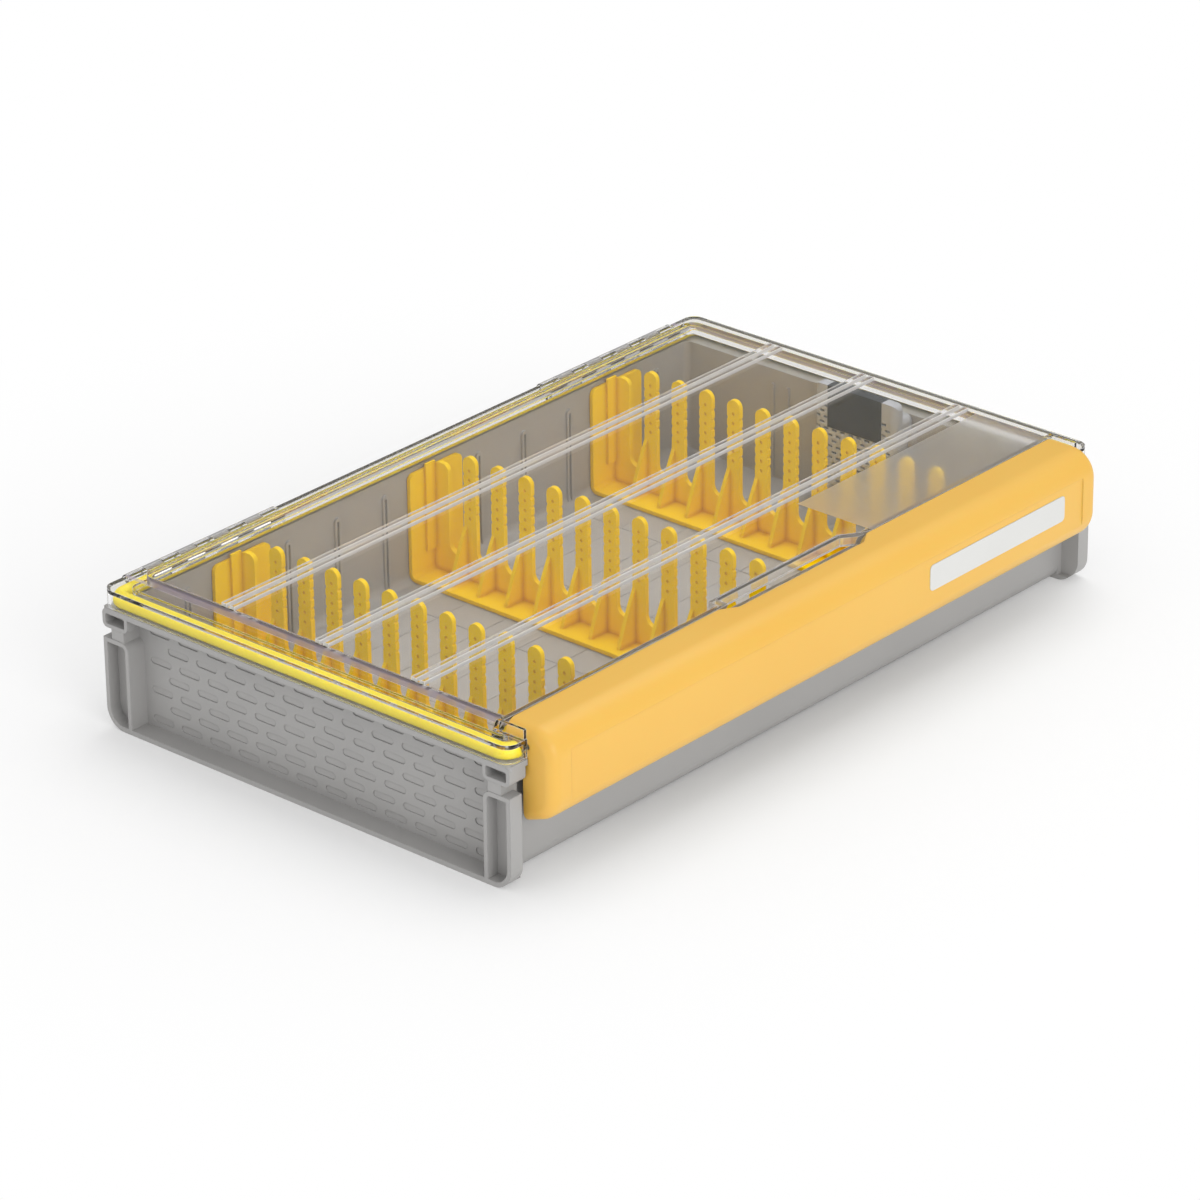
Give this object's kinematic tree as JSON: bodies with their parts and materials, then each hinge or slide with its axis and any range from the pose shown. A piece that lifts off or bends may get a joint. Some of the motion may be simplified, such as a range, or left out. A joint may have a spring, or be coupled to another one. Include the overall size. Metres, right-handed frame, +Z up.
{
  "type": "hinged tackle box",
  "caption": "Shallow tackle box with a ribbed tray, a clear gasketed lid hinged at the back, a full-width latch bar and lift-out comb dividers.",
  "frame": {"origin": "on the ground, at the middle of the box's overall length and depth", "axes": "+X along the box's length, +Y from the latch to the hinge, +Z up"},
  "size_m": [0.365, 0.235, 0.0676],
  "materials": {
    "tray_plastic": "satin",
    "clear_lid": "polished",
    "latch_plastic": "satin",
    "comb_plastic": "satin",
    "gasket_rubber": "satin",
    "steel": "brushed",
    "label_film": "matt",
    "divider_plastic": "satin",
    "tag_film": "matt",
    "desiccant_fabric": "matt"
  },
  "bodies": {
    "tray": {"tray": "tray_plastic"},
    "lid": {"lid": "clear_lid", "gasket": "gasket_rubber", "hinge_pin_left": "steel", "hinge_pin_right": "steel", "latch_pin_left": "steel", "latch_pin_right": "steel"},
    "latch": {"latch": "latch_plastic", "latch_label": "label_film"},
    "comb_left": {"comb_left": "comb_plastic"},
    "comb_middle": {"comb_middle": "comb_plastic"},
    "comb_right": {"comb_right": "comb_plastic"},
    "drying_divider": {"divider_housing": "divider_plastic", "divider_back_cover": "divider_plastic", "desiccant_pack": "desiccant_fabric", "divider_tag": "tag_film"}
  },
  "joints": [
    {"name": "lid_hinge", "type": "hinge", "parent": "tray", "child": "lid", "pos_m": [0, 0.1149, 0.0591], "axis": [-1, 0, 0], "range_deg": [0, 110]},
    {"name": "latch_pivot", "type": "hinge", "parent": "lid", "child": "latch", "pos_m": [0, -0.1043, 0.0583], "axis": [-1, 0, 0], "range_deg": [0, 18]},
    {"name": "comb_left_lift", "type": "slide", "parent": "tray", "child": "comb_left", "axis": [0, 0, 1], "range_m": [0, 0.002]},
    {"name": "comb_middle_lift", "type": "slide", "parent": "tray", "child": "comb_middle", "axis": [0, 0, 1], "range_m": [0, 0.002]},
    {"name": "comb_right_lift", "type": "slide", "parent": "tray", "child": "comb_right", "axis": [0, 0, 1], "range_m": [0, 0.002]},
    {"name": "divider_lift", "type": "slide", "parent": "tray", "child": "drying_divider", "axis": [0, 0, 1], "range_m": [0, 0.002]}
  ]
}
